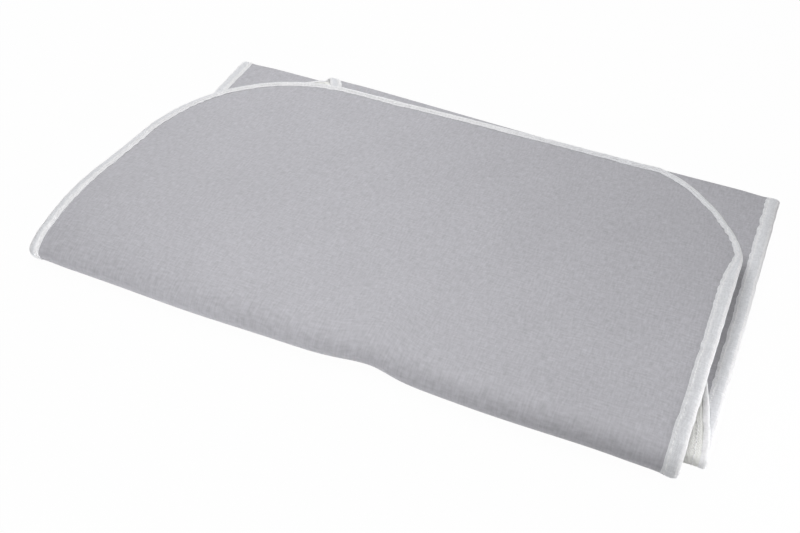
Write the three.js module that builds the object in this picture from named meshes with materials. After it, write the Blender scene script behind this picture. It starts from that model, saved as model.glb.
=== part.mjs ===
// Ironing board cover, folded flat: a metallised face cloth on a felt underlay, bound all round with a tape
// that leaves a tunnel at the edge. Millimetres, +Z up, the folded bundle lies on z = 0, near fold toward -Y.
//
// The cover is drawn as a flat pattern and then folded. In the pattern, s runs along the length from the
// heel edge to the nose tip, w runs across from the centre line, and n is the height over the middle of the
// layer, positive toward the silver face.
import * as THREE from "three";

// Outline of the flat cover
const COVER_WIDTH = 480;
const HEEL_CORNER_LEFT = 130;
const HEEL_CORNER_RIGHT = 98;
const NOSE_LENGTH_POWER = 1.5;
const NOSE_WIDTH_POWER = 1.4;

// Panels between the folds: depth of the bundle's base, what the others fall short of it, and the nose tip
const BASE_LENGTH = 277;
const HEEL_SETBACK = 14;
const INNER_NEAR_SETBACK = 7;
const INNER_FAR_SETBACK = 3;
const TIP_LENGTH = 174;

// Layers
const FACE_THICKNESS = 0.5;
const UNDERLAY_THICKNESS = 3.3;
const TAPE_THICKNESS = 0.5;
const SIDE_LEAF = 11;
const HEEL_LEAF = 7.5;
const PINCH_RUN = 5;
const CLEARANCE = 0.3;
const LAYER_GAP = 0.4;
const TUNNEL_MOUTH = 16;

// How the bundle lies: drift of the flap and of the nose to the left, dent in the near fold, slant of the
// nose's far fold, arch of the flap over the bundle and droop of its far corners
const FLAP_DRIFT = 14;
const NOSE_DRIFT = 5;
const DENT_DEPTH = 8;
const DENT_AT = 25;
const DENT_WIDTH = 42;
const DENT_FADE = 80;
const NOSE_SLANT = 0.045;
const FLAP_CROWN = 8;
const CROWN_LEAN = 1.5;
const FLAP_DROOP = 6;
const DROOP_MARGIN = 12;
const DROOP_RUN = 70;

// Mesh steps along each run of the fold plan, and across and round the sections
const RUN_STEPS = {
  near_fold: 8,
  base_panel: 4,
  far_fold: 6,
  middle_panel: 1,
  inner_near_fold: 6,
  nose_panel: 6,
  inner_far_fold: 6,
};
const CORNER_STEPS = 9;
const FLAP_SIDE_STEPS = 5;
const ACROSS_STEPS = 16;
const PLAIN_ACROSS_STEPS = 2;
const TIP_STEPS = 9;
const TIP_TURN = 6;
const TUNNEL_STEPS = 4;

const FLAP_LENGTH = BASE_LENGTH - HEEL_SETBACK;
const MIDDLE_LENGTH = BASE_LENGTH - INNER_NEAR_SETBACK;
const NOSE_LENGTH = MIDDLE_LENGTH - INNER_FAR_SETBACK;
const HALF_WIDTH = COVER_WIDTH / 2;
const LAYER = FACE_THICKNESS + CLEARANCE + UNDERLAY_THICKNESS;
const PITCH = LAYER + LAYER_GAP;
const HALF_LAYER = LAYER / 2;
const TUNNEL_RADIUS = HALF_LAYER - TAPE_THICKNESS;
const CLOTH_INSET = 2 * HALF_LAYER + CLEARANCE;
const NEAR_RADIUS = 2 * PITCH;
const SMALL_RADIUS = PITCH / 2;
const SLIT = CLEARANCE / 2;
const TAPER_LENGTH = NOSE_LENGTH + Math.PI * SMALL_RADIUS + TIP_LENGTH;

// Fold plan: each run is straight (turn 0) or bends half a turn, +1 with the silver outside, -1 with it
// inside
const RUNS = [
  { name: "heel_flap", length: FLAP_LENGTH, turn: 0 },
  { name: "near_fold", radius: NEAR_RADIUS, turn: 1 },
  { name: "base_panel", length: BASE_LENGTH, turn: 0 },
  { name: "far_fold", radius: SMALL_RADIUS, turn: 1 },
  { name: "middle_panel", length: MIDDLE_LENGTH, turn: 0 },
  { name: "inner_near_fold", radius: SMALL_RADIUS, turn: -1 },
  { name: "nose_panel", length: NOSE_LENGTH, turn: 0 },
  { name: "inner_far_fold", radius: SMALL_RADIUS, turn: 1 },
  { name: "nose_tip", length: TIP_LENGTH, turn: 0 },
];

// Walk the plan once, from the heel edge at the top of the bundle: start, middle line point, heading and
// silver side
const run = {};
let walkS = 0;
let walkPoint = new THREE.Vector2(0, 4 * PITCH + HALF_LAYER);
let walkAngle = Math.PI;
for (const plan of RUNS) {
  const bend = plan.turn === 0 ? 0 : plan.turn / plan.radius;
  const length = plan.turn === 0 ? plan.length : Math.PI * plan.radius;
  run[plan.name] = { start: walkS, end: walkS + length, point: walkPoint, angle: walkAngle, bend };
  const last = alongRun(run[plan.name], length);
  walkS += length;
  walkPoint = last.point;
  walkAngle = last.angle;
}
const COVER_LENGTH = walkS;
const TAPER_START = COVER_LENGTH - TAPER_LENGTH;
const NOSE_HINGE_Y = run.nose_panel.point.x;

// Middle line point and heading after a distance along one run, in the plane of y and z
function alongRun(part, distance) {
  const { point, angle, bend } = part;
  const heading = new THREE.Vector2(Math.cos(angle), Math.sin(angle));
  if (bend === 0) {
    return { point: point.clone().addScaledVector(heading, distance), angle };
  }
  const turned = angle + bend * distance;
  const step = new THREE.Vector2(
    (Math.sin(turned) - Math.sin(angle)) / bend,
    (Math.cos(angle) - Math.cos(turned)) / bend,
  );
  return { point: point.clone().add(step), angle: turned };
}

function smoothstep(t) {
  return THREE.MathUtils.smoothstep(t, 0, 1);
}

// Half width of the cover at a distance s from the heel edge, without the heel corners
function halfWidth(s) {
  const d = Math.max(0, s - TAPER_START) / TAPER_LENGTH;
  return HALF_WIDTH * Math.pow(Math.max(0, 1 - Math.pow(d, NOSE_LENGTH_POWER)), 1 / NOSE_WIDTH_POWER);
}

// Sideways drift of the layer at s
function drift(s) {
  if (s <= run.base_panel.start) {
    return -FLAP_DRIFT;
  }
  if (s <= run.base_panel.end) {
    return -FLAP_DRIFT * (run.base_panel.end - s) / BASE_LENGTH;
  }
  return -NOSE_DRIFT * THREE.MathUtils.clamp((s - run.nose_panel.start) / NOSE_LENGTH, 0, 1);
}

// Dent of the near fold, which fades out along the two panels that it joins
function dent(s, x) {
  const fold = run.near_fold;
  const away = Math.max(fold.start - s, s - fold.end, 0);
  const across = (x + FLAP_DRIFT - DENT_AT) / DENT_WIDTH;
  return DENT_DEPTH * Math.exp(-across * across) * (1 - smoothstep(away / DENT_FADE));
}

// Slant of the nose's far fold: its right end lies nearer than its left end
function slant(s, x) {
  const { start, end } = run.nose_panel;
  return -NOSE_SLANT * (x + HALF_WIDTH / 2) * THREE.MathUtils.clamp((s - start) / (end - start), 0, 1);
}

// Arch of the flap between its heel edge and the near fold, highest past the middle
function crown(s) {
  const rise = Math.sin(Math.PI * Math.pow(Math.min(1, s / FLAP_LENGTH), CROWN_LEAN));
  return FLAP_CROWN * rise * rise;
}

// Droop of the flap where it hangs past the edge of the nose panel under it
function droop(s, x, y) {
  if (s > FLAP_LENGTH) {
    return 0;
  }
  const under = run.nose_panel.start + Math.max(0, y - NOSE_HINGE_Y);
  const past = Math.abs(x - drift(under)) - halfWidth(under) - DROOP_MARGIN;
  return FLAP_DROOP * smoothstep(past / DROOP_RUN);
}

// Folded place of a pattern point
function place(s, w, n) {
  const part = Object.values(run).find((each) => s <= each.end) ?? run.nose_tip;
  const { point, angle } = alongRun(part, s - part.start);
  const x = w + drift(s);
  const y = point.x + n * Math.sin(angle) + dent(s, x) + slant(s, x);
  const z = point.y - n * Math.cos(angle) + crown(s) - droop(s, x, point.x);
  return new THREE.Vector3(x, y, z);
}

// A station is a point of the bound edge with the way from it into the cloth; inset goes that way, so far
// that the point lies q from the edge
function inset(station, q) {
  return { s: station.s + q * station.intoS, w: station.w + q * station.intoW };
}

// Stations along a straight or tapered side between two distances from the heel; side is -1 left, +1 right.
// The way in is straight across, so that the pieces of a fold bend on the same lines.
function sideStations(side, from, to, steps) {
  const stations = [];
  for (let i = 0; i <= steps; i += 1) {
    const s = THREE.MathUtils.lerp(from, to, i / steps);
    const slope = halfWidth(s + 0.5) - halfWidth(s - 0.5);
    const intoW = -side * Math.hypot(1, slope);
    stations.push({ s, w: side * halfWidth(s), intoS: 0, intoW, leaf: SIDE_LEAF });
  }
  return stations;
}

// Stations round a heel corner, from the side to the heel edge
function cornerStations(side, radius) {
  const stations = [];
  for (let i = 0; i <= CORNER_STEPS; i += 1) {
    const angle = (Math.PI / 2) * (i / CORNER_STEPS);
    const out = Math.cos(angle);
    const back = Math.sin(angle);
    stations.push({
      s: radius * (1 - back),
      w: side * (HALF_WIDTH - radius * (1 - out)),
      intoS: back,
      intoW: -side * out,
      leaf: THREE.MathUtils.lerp(SIDE_LEAF, HEEL_LEAF, i / CORNER_STEPS),
    });
  }
  return stations;
}

// Stations along the heel edge from left to right
function heelStations() {
  const from = HEEL_CORNER_LEFT - HALF_WIDTH;
  const to = HALF_WIDTH - HEEL_CORNER_RIGHT;
  const stations = [];
  for (let i = 0; i <= ACROSS_STEPS; i += 1) {
    const w = THREE.MathUtils.lerp(from, to, i / ACROSS_STEPS);
    stations.push({ s: 0, w, intoS: 1, intoW: 0, leaf: HEEL_LEAF });
  }
  return stations;
}

// Angle of the nose curve at a distance s from the heel: 0 where the taper starts, a quarter turn at the
// tip
function noseAngle(s) {
  return Math.asin(Math.pow((s - TAPER_START) / TAPER_LENGTH, NOSE_LENGTH_POWER / 2));
}

// Station of the nose curve; the way in turns from straight across at the tip panel's fold to square at the
// tip
const TIP_ANGLE = noseAngle(run.nose_tip.start + SLIT);
function noseStation(side, angle) {
  const along = Math.pow(Math.sin(angle), 2 / NOSE_LENGTH_POWER);
  const across = Math.pow(Math.cos(angle), 2 / NOSE_WIDTH_POWER);
  const ds = (TAPER_LENGTH * along / NOSE_LENGTH_POWER) / Math.tan(angle);
  const dw = (HALF_WIDTH * across / NOSE_WIDTH_POWER) * Math.tan(angle);
  const square = new THREE.Vector2(-dw, -side * ds).normalize();
  const lean = (angle - TIP_ANGLE) / (Math.PI / 2 - TIP_ANGLE);
  const into = new THREE.Vector2(0, -side).lerp(square, smoothstep(lean));
  into.divideScalar(into.dot(square));
  return {
    s: TAPER_START + TAPER_LENGTH * along,
    w: side * HALF_WIDTH * across,
    intoS: into.x,
    intoW: into.y,
    leaf: SIDE_LEAF,
  };
}

function noseStations(side, from, to, steps) {
  const stations = [];
  for (let i = 0; i <= steps; i += 1) {
    stations.push(noseStation(side, THREE.MathUtils.lerp(from, to, i / steps)));
  }
  return stations;
}

// Closed mesh from triangles of indexed points, turned outward
function solid(points, triangles) {
  let volume = 0;
  for (const [a, b, c] of triangles) {
    volume += points[a].dot(points[b].clone().cross(points[c]));
  }
  const faces = volume < 0 ? triangles.map(([a, b, c]) => [a, c, b]) : triangles;
  const geometry = new THREE.BufferGeometry().setFromPoints(points);
  geometry.setIndex(faces.flat());
  geometry.computeVertexNormals();
  return geometry;
}

// Closed layer over cells of pattern corners, each with the height of its two sides
function layer(cells) {
  const index = new Map();
  const points = [];
  const number = (corner) => {
    if (!index.has(corner)) {
      index.set(corner, points.length);
      points.push(place(corner.s, corner.w, corner.top));
      points.push(place(corner.s, corner.w, corner.bottom));
    }
    return index.get(corner);
  };
  const triangles = [];
  const edges = new Map();
  for (const cell of cells) {
    const [a, b, c, d] = cell.map(number);
    triangles.push([a, b, c], [a, c, d], [a + 1, c + 1, b + 1], [a + 1, d + 1, c + 1]);
    [[a, b], [b, c], [c, d], [d, a]].forEach(([p, q]) => edges.set(`${p} ${q}`, [p, q]));
  }
  for (const [p, q] of edges.values()) {
    if (!edges.has(`${q} ${p}`)) {
      triangles.push([p, p + 1, q + 1], [p, q + 1, q]);
    }
  }
  return solid(points, triangles);
}

// Cells of a layer between two bound sides, in so many steps across, with a bound end if its stations are
// given. Rings step in from the bound edge: each has its inset and the heights of the layer's two sides
// there, and all depend on how wide the tape's leaf is at the station.
const RINGS = [0, 1, 2];
function layerCells(left, right, end, across, rings) {
  const corner = (station, k) => {
    const ring = rings(station.leaf)[k];
    return { ...inset(station, ring.inset), top: ring.top, bottom: ring.bottom };
  };
  const lefts = RINGS.map((k) => left.map((station) => corner(station, k)));
  const rights = RINGS.map((k) => right.map((station) => corner(station, k)));
  const ends = RINGS.map((k) => {
    if (!end) {
      return [];
    }
    const between = end.slice(1, -1).map((station) => corner(station, k));
    return [lefts[k].at(-1), ...between, rights[k].at(-1)];
  });
  const inner = RINGS.length - 1;
  const grid = left.map((_, i) => {
    if (end && i === left.length - 1) {
      return ends[inner];
    }
    const a = lefts[inner][i];
    const b = rights[inner][i];
    const row = [a];
    for (let j = 1; j < across; j += 1) {
      const t = j / across;
      row.push({ ...a, s: THREE.MathUtils.lerp(a.s, b.s, t), w: THREE.MathUtils.lerp(a.w, b.w, t) });
    }
    return [...row, b];
  });
  const cells = [];
  const strip = (near, far) => {
    for (let i = 0; i + 1 < near.length; i += 1) {
      cells.push([near[i], near[i + 1], far[i + 1], far[i]]);
    }
  };
  for (let k = 0; k < inner; k += 1) {
    strip(lefts[k], lefts[k + 1]);
    strip(ends[k], ends[k + 1]);
    strip(rights[k + 1], rights[k]);
  }
  for (let i = 0; i + 1 < grid.length; i += 1) {
    strip(grid[i + 1], grid[i]);
  }
  return cells;
}

// Face cloth and felt: held thin between the tape's leaves, full thickness inside them
const PINCH_TOP = TUNNEL_RADIUS - CLEARANCE;
const PINCH_SPLIT = PINCH_TOP - FACE_THICKNESS;
function faceRings(leaf) {
  return [
    { inset: CLOTH_INSET, top: PINCH_TOP, bottom: PINCH_SPLIT },
    { inset: leaf + CLEARANCE, top: PINCH_TOP, bottom: PINCH_SPLIT },
    { inset: leaf + CLEARANCE + PINCH_RUN, top: HALF_LAYER, bottom: HALF_LAYER - FACE_THICKNESS },
  ];
}
function feltRings(leaf) {
  const bottoms = [-PINCH_TOP, -PINCH_TOP, -HALF_LAYER];
  return faceRings(leaf).map((ring, k) => {
    return { inset: ring.inset, top: ring.bottom - CLEARANCE, bottom: bottoms[k] };
  });
}

// Tape section: a leaf on each side and the round tunnel at the edge between them
function tapeSection(leaf) {
  const section = [];
  for (let i = 0; i <= TUNNEL_STEPS; i += 1) {
    const angle = Math.PI * (0.5 + i / TUNNEL_STEPS);
    section.push([HALF_LAYER * (1 + Math.cos(angle)), HALF_LAYER * Math.sin(angle)]);
  }
  section.push([leaf, -HALF_LAYER], [leaf, -TUNNEL_RADIUS]);
  for (let i = 0; i <= TUNNEL_STEPS; i += 1) {
    const angle = Math.PI * (1.5 - i / TUNNEL_STEPS);
    section.push([HALF_LAYER + TUNNEL_RADIUS * Math.cos(angle), TUNNEL_RADIUS * Math.sin(angle)]);
  }
  section.push([leaf, TUNNEL_RADIUS], [leaf, HALF_LAYER]);
  return section;
}

// Tape carried along stations of the bound edge, closed at both ends
function sweepTape(stations) {
  const points = [];
  for (const station of stations) {
    for (const [q, n] of tapeSection(station.leaf)) {
      const { s, w } = inset(station, q);
      points.push(place(s, w, n));
    }
  }
  const size = points.length / stations.length;
  const triangles = [];
  for (let i = 0; i + 1 < stations.length; i += 1) {
    for (let k = 0; k < size; k += 1) {
      const a = i * size + k;
      const b = i * size + ((k + 1) % size);
      triangles.push([a, b, b + size], [a, b + size, a + size]);
    }
  }
  const outline = tapeSection(SIDE_LEAF).map(([q, n]) => new THREE.Vector2(q, n));
  const lastRing = (stations.length - 1) * size;
  for (const [a, b, c] of THREE.ShapeUtils.triangulateShape(outline, [])) {
    triangles.push([a, c, b], [a + lastRing, b + lastRing, c + lastRing]);
  }
  return solid(points, triangles);
}

// Colours read from the photograph
const silver = new THREE.MeshStandardMaterial({ color: 0xb9b9be, roughness: 0.5, metalness: 0.35 });
const felt = new THREE.MeshStandardMaterial({ color: 0xe9eae5, roughness: 0.95 });
const tape = new THREE.MeshStandardMaterial({ color: 0xe2e3e6, roughness: 0.85 });

const cover = new THREE.Group();
function add(name, geometry, material) {
  const mesh = new THREE.Mesh(geometry, material);
  mesh.name = name;
  cover.add(mesh);
}

function addLayers(name, left, right, end, across) {
  add(`${name}_face`, layer(layerCells(left, right, end, across, faceRings)), silver);
  add(`${name}_underlay`, layer(layerCells(left, right, end, across, feltRings)), felt);
}

function addBinding(name, stations) {
  add(name, sweepTape(stations), tape);
}

// Panels and folds between two bound sides, in order from the near fold to the nose
const STACK = ["base_panel", "far_fold", "middle_panel", "inner_near_fold", "nose_panel", "inner_far_fold"];
function runStations(name, side) {
  const { start, end } = run[name];
  return sideStations(side, start + SLIT, end - SLIT, RUN_STEPS[name]);
}
for (const name of ["near_fold", ...STACK]) {
  const left = runStations(name, -1);
  const right = runStations(name, 1);
  const dented = name === "near_fold" || name === "base_panel";
  addLayers(name, left, right, null, dented ? ACROSS_STEPS : PLAIN_ACROSS_STEPS);
  addBinding(`${name}_binding_left`, left);
  addBinding(`${name}_binding_right`, right);
}

// Heel flap: two sides, two corners and the heel edge
const flapEnd = FLAP_LENGTH - SLIT;
const flapLeft = sideStations(-1, flapEnd, HEEL_CORNER_LEFT, FLAP_SIDE_STEPS);
const flapRight = sideStations(1, flapEnd, HEEL_CORNER_RIGHT, FLAP_SIDE_STEPS);
const cornerLeft = cornerStations(-1, HEEL_CORNER_LEFT);
const cornerRight = cornerStations(1, HEEL_CORNER_RIGHT);
const heel = heelStations();
const flapSideLeft = [...flapLeft, ...cornerLeft.slice(1)];
const flapSideRight = [...flapRight, ...cornerRight.slice(1)];
addLayers("heel_flap", flapSideLeft, flapSideRight, heel, ACROSS_STEPS);
addBinding("heel_flap_binding_left", flapLeft);
addBinding("heel_flap_binding_left_corner", trim(cornerLeft));
addBinding("heel_flap_binding_heel", heel);
addBinding("heel_flap_binding_right_corner", trim(cornerRight));
addBinding("heel_flap_binding_right", flapRight);

// The same stations with the first and last moved in by the clearance, so that neighbours don't touch
function trim(stations) {
  const close = (end, next) => {
    const gap = CLEARANCE / Math.hypot(next.s - end.s, next.w - end.w);
    const mixed = {};
    for (const key of ["s", "w", "intoS", "intoW", "leaf"]) {
      mixed[key] = THREE.MathUtils.lerp(end[key], next[key], gap);
    }
    return mixed;
  };
  const first = close(stations[0], stations[1]);
  const last = close(stations.at(-1), stations.at(-2));
  return [first, ...stations.slice(1, -1), last];
}

// Nose tip: two curved sides whose tapes stop short of each other, which leaves the tunnel's mouth
const mouthAngle = Math.acos(Math.pow(TUNNEL_MOUTH / COVER_WIDTH, NOSE_WIDTH_POWER / 2));
const tipLeft = noseStations(-1, TIP_ANGLE, mouthAngle, TIP_STEPS);
const tipRight = noseStations(1, TIP_ANGLE, mouthAngle, TIP_STEPS);
const tipPoint = { s: COVER_LENGTH, w: 0, intoS: -1, intoW: 0, leaf: SIDE_LEAF };
const tipEnd = [...tipLeft.slice(TIP_TURN), tipPoint, ...tipRight.slice(TIP_TURN).reverse()];
const tipSideLeft = tipLeft.slice(0, TIP_TURN + 1);
const tipSideRight = tipRight.slice(0, TIP_TURN + 1);
addLayers("nose_tip", tipSideLeft, tipSideRight, tipEnd, tipEnd.length - 1);
addBinding("nose_tip_binding_left", tipLeft);
addBinding("nose_tip_binding_right", tipRight);

// Bottom centre of the bundle at the origin
const box = new THREE.Box3().setFromObject(cover);
const middle = box.getCenter(new THREE.Vector3());
for (const mesh of cover.children) {
  mesh.geometry.translate(-middle.x, -middle.y, -box.min.z);
}

export default cover;
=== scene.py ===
"""Folded ironing board cover: metallised face cloth, felt underlay, binding tape and its stitching.

The cover is drawn as a flat pattern and then folded, as the real one was. In the pattern, s runs
along the length from the heel edge to the nose tip, w runs across from the centre line, and n is
the height over the middle of the layers, positive toward the silver face. Lengths are in metres.
"""

import math

import bpy
import numpy as np
from mathutils import Euler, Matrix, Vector, kdtree


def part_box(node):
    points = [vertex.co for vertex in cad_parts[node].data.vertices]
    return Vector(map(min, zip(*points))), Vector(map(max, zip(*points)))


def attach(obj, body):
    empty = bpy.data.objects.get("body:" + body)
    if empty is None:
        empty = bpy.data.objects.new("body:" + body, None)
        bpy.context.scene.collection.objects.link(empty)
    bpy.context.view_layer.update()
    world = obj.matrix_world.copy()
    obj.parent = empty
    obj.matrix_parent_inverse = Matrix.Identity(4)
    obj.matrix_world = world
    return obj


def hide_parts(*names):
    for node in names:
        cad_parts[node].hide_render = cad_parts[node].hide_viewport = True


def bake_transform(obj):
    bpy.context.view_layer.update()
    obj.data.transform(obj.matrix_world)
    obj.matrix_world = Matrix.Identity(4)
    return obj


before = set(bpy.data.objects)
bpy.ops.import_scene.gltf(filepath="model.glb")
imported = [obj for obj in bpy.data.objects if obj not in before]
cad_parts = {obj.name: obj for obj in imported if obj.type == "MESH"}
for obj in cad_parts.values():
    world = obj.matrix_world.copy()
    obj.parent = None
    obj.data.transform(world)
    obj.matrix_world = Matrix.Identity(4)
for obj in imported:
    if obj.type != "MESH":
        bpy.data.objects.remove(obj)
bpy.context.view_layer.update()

bl_info = {
    "name": "Folded ironing board cover",
    "version": (1, 0, 0),
    "blender": (4, 5, 0),
    "location": "3D View > Sidebar > Cover",
    "description": "Folds a bound ironing board cover from its flat pattern",
    "category": "Object",
}

MM = 0.001
STACK, FLAP = "folded_stack", "heel_flap"
# The second map says where the tape takes its whiter hem tint: doubled hem and felt side, with
# painted shade and painted light
PATTERN_MAP, HEM_AND_LIGHT_MAP = "pattern", "backing"

# Fold plan as packed: where the layers lie, and how deep the panels are
LEFT_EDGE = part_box("middle_panel_binding_left")[0].x
RIGHT_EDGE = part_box("middle_panel_binding_right")[1].x
CENTRE_X = (LEFT_EDGE + RIGHT_EDGE) / 2
HEEL_EDGE_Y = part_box("heel_flap_binding_heel")[1].y
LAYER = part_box("base_panel_underlay")[1].z
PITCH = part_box("middle_panel_face")[1].z - LAYER
HALF_LAYER = LAYER / 2
NEAR_RADIUS = 2 * PITCH
SMALL_RADIUS = PITCH / 2


def depth_of(node):
    low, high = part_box(node)
    return high.y - low.y


def share(label, description, default, **kind):
    """A number that a user may change."""
    return bpy.props.FloatProperty(name=label, description=description, default=default, **kind)


def length(label, description, default):
    """A length that a user may change."""
    return share(label, description, default, unit="LENGTH", precision=4)


def colour(label, description, default):
    """A colour that a user may change."""
    return bpy.props.FloatVectorProperty(
        name=label, description=description, default=default, subtype="COLOR", min=0.0, max=1.0
    )


class CoverSizes(bpy.types.PropertyGroup):
    """Sizes of the flat cover and of the way it lies folded."""

    width: length("Width", "Width of the flat cover", RIGHT_EDGE - LEFT_EDGE)
    heel_corner_left: length("Left heel corner", "Radius of the heel's left corner", 130 * MM)
    heel_corner_right: length("Right heel corner", "Depth of the heel's right corner", 84 * MM)
    flap_depth: length(
        "Heel flap", "Heel edge to near fold", HEEL_EDGE_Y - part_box("heel_flap_face")[0].y
    )
    base_depth: length("Base panel", "Near fold to far fold", depth_of("base_panel_face"))
    middle_depth: length(
        "Middle panel", "Far fold to inner near fold", depth_of("middle_panel_face")
    )
    nose_depth: length("Nose panel", "Inner near fold to inner far fold", 267 * MM)
    tip_depth: length("Nose tip", "Inner far fold to the tip", 174 * MM)
    flap_drift: length("Flap drift", "How far the flap lies to the left", 14 * MM)
    nose_drift: length("Nose drift", "How far the nose lies to the left", 15 * MM)
    far_reach: length("Far reach", "How far the far fold's left end stands out", 4.5 * MM)
    nose_slant: share("Nose slant", "Slope of the nose's far fold", 0.045)
    flap_crown: length("Flap crown", "Arch of the flap over the bundle", 6.5 * MM)
    flap_droop: length("Flap droop", "How far the flap's far corners hang", 6 * MM)
    dent_depth: length("Dent depth", "Dent in the near fold", 5.2 * MM)
    fold_skew: length("Fold skew", "How far the near fold's right end lies back", 2.6 * MM)
    fold_slope: length("Fold slope", "How far the top of the near fold slopes back", 6.5 * MM)
    face: length("Face cloth", "Thickness of the face cloth", 0.5 * MM)
    tape: length("Tape", "Thickness of the binding tape", 0.45 * MM)
    side_leaf: length("Side leaf", "Width of the tape's leaf on the right side", 10.4 * MM)
    left_leaf: length("Left leaf", "Width of the tape's leaf on the left side", 8.8 * MM)
    heel_leaf: length("Heel leaf", "Width of the tape's leaf at the heel", 6.6 * MM)
    back_leaf: length("Back leaf", "Width of the tape's leaf on the felt", 4.6 * MM)
    tunnel_mouth: length("Tunnel mouth", "Gap between the tape's ends at the tip", 16 * MM)
    stitch: length("Stitch", "Length of one stitch", 3.2 * MM)
    thread: length("Thread", "Thickness of the thread", 0.7 * MM)


class CoverFinish(bpy.types.PropertyGroup):
    """Colours of the cover's cloths and thread."""

    silver: colour("Silver", "Face cloth", (0.480, 0.476, 0.508))
    felt: colour("Felt", "Underlay", (0.945, 0.947, 0.918))
    tape: colour("Tape", "Binding where it is one layer on the face cloth", (0.825, 0.835, 0.862))
    # The hem tint also stands for painted light near the heel's left end, and its fading on the
    # right is painted shade
    hem: colour("Hem", "Binding where it is doubled or lies on felt", (0.950, 0.950, 0.965))
    thread: colour("Thread", "Stitching", (0.950, 0.950, 0.955))


class StudioSettings(bpy.types.PropertyGroup):
    """Camera and light."""

    lens: share("Lens", "Focal length in millimetres on a 36 mm sensor", 45.9)
    pitch: share("Pitch", "Camera's angle below level", math.radians(43.57), subtype="ANGLE")
    yaw: share("Yaw", "Camera's turn to the left", math.radians(24.15), subtype="ANGLE")
    place: bpy.props.FloatVectorProperty(
        name="Place", description="Camera's place", subtype="TRANSLATION",
        default=(0.2266, -0.5358, 0.5187),
    )
    top: share("Top", "Power of the softbox overhead, in watts", 5.9)
    left: share("Left", "Power of the softbox behind the left end, in watts", 2.0)
    front: share("Front", "Power of the low strip light in front, in watts", 1.6)
    right: share("Right", "Power of the low strip light at the right end, in watts", 0.3)
    ambient: share("Ambient", "Strength of the light from all round", 0.02)


class Run:
    """One stretch of the fold plan.

    Its turn is 0 for a panel, 1 for a fold with the silver outside, -1 for one with it inside."""

    def __init__(self, start, size, turn, point, heading):
        self.start = start
        self.end = start + (math.pi * size if turn else size)
        self.bend = turn / size if turn else 0.0
        self.point = point
        self.heading = heading
        self.last_heading = heading + self.bend * (self.end - start)

    def middle(self, s):
        """y and z of the layers' middle line at s."""
        along = s - self.start
        y, z = self.point
        if self.bend == 0.0:
            return y + along * math.cos(self.heading), z + along * math.sin(self.heading)
        turned = self.heading + self.bend * along
        y = y + (np.sin(turned) - math.sin(self.heading)) / self.bend
        z = z + (math.cos(self.heading) - np.cos(turned)) / self.bend
        return y, z

    def away(self, s):
        """How far s lies past either end."""
        return np.maximum(np.maximum(self.start - s, s - self.end), 0.0)

    def passed(self, s):
        """How much of the stretch lies before s, from 0 to 1."""
        return np.clip((s - self.start) / (self.end - self.start), 0.0, 1.0)


def smooth(t):
    """From 0 to 1, level at both ends."""
    t = np.clip(t, 0.0, 1.0)
    return t * t * (3 - 2 * t)


def bell(t):
    """1 at 0, falling off softly on both sides."""
    return np.exp(-(t**2))


def running(steps):
    """Running total of steps along the last axis, from 0 on."""
    return np.concatenate([np.zeros((*steps.shape[:-1], 1)), np.cumsum(steps, -1)], -1)


def unit(vectors):
    """The same directions with length 1."""
    return vectors / np.linalg.norm(vectors, axis=-1, keepdims=True)


KNOTS = 4096


def wander(t, size, wavelength, seed):
    """Smooth random line over t, up to size either way, with bends about one wavelength apart."""
    knots = np.random.default_rng(seed).uniform(-1, 1, KNOTS)
    place = np.asarray(t) / wavelength + KNOTS // 2
    before = np.floor(place).astype(int)
    part = smooth(place - before)
    return size * (knots[before % KNOTS] * (1 - part) + knots[(before + 1) % KNOTS] * part)


# Outline of the pattern, with the powers of its curves, and how the folded layers lie
NOSE_ALONG, NOSE_ACROSS = 1.5, 1.4
CORNER_CURVE, CORNER_ACROSS = 1.5, 0.96
NOSE_POINTS, CORNER_POINTS = 4000, 800
NORMAL_STEP, OUTLINE_STEP = 0.15 * MM, 0.25 * MM
TO_MIDDLE = 1e-6  # finds the middle of the heel edge, which is straight there
DENT_AT, DENT_LEFT, DENT_RIGHT, DENT_FADE = 32.5 * MM, 26 * MM, 20 * MM, 80 * MM
DENT_SLOPE = 0.8
# Place, width and depth of the lobes along the near fold
LOBES = (
    (-105 * MM, 52 * MM, 1.5 * MM),
    (120 * MM, 60 * MM, 2.0 * MM),
    (252 * MM, 40 * MM, 3.2 * MM),
)
CROWN_LEAN, LEFT_LEAN, LEFT_CROWN, ROLL_IN = 1.0, 3.0, 1.12, 16 * MM
DROOP_MARGIN, DROOP_RUN, LEFT_DROOP = 12 * MM, 70 * MM, 0.2
REACH_FADE, REACH_BACK = 110 * MM, 0.5
NOSE_FLARE, NOSE_REST = 12 * MM, 0.07
# The flap's faint ripples: wavelengths along and across, and phase
RIPPLE, RIPPLE_FADE = 0.22 * MM, 60 * MM
RIPPLE_WAVES = ((31 * MM, 74 * MM, 0.0), (-58 * MM, 43 * MM, 1.3))
FLAP_HUMP, MIDDLE_HUMP, HUMP_RUN = 0.5 * MM, 0.3 * MM, 25 * MM
# The tape's leaf: where it widens on the right, and how it gathers in the right corner
WIDE_FROM, WIDE_RUN = 72 * MM, 50 * MM
CORNER_START, GATHER, GATHER_POINTS = 2 * MM, 0.8, 120
# Random lines along the bound edge: size, wavelength and seed
LEAF_DRIFT = (0.45 * MM, 26 * MM, 11)
LEAF_FRAY = (0.25 * MM, 4.0 * MM, 12)
LIFT = (0.16 * MM, 4.5 * MM, 13)
SWAY = (0.26 * MM, 8 * MM, 14)
SCALLOP_SHIFT = (0.9, 30 * MM, 15)
SCALLOP_CHANGE = (0.75, 34 * MM, 16)
SCALLOP, SCALLOP_LENGTH, SCALLOP_MEAN = 0.7 * MM, 9 * MM, 0.64
SCALLOP_USUAL, SCALLOP_LEAST = 0.45, 0.1


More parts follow.
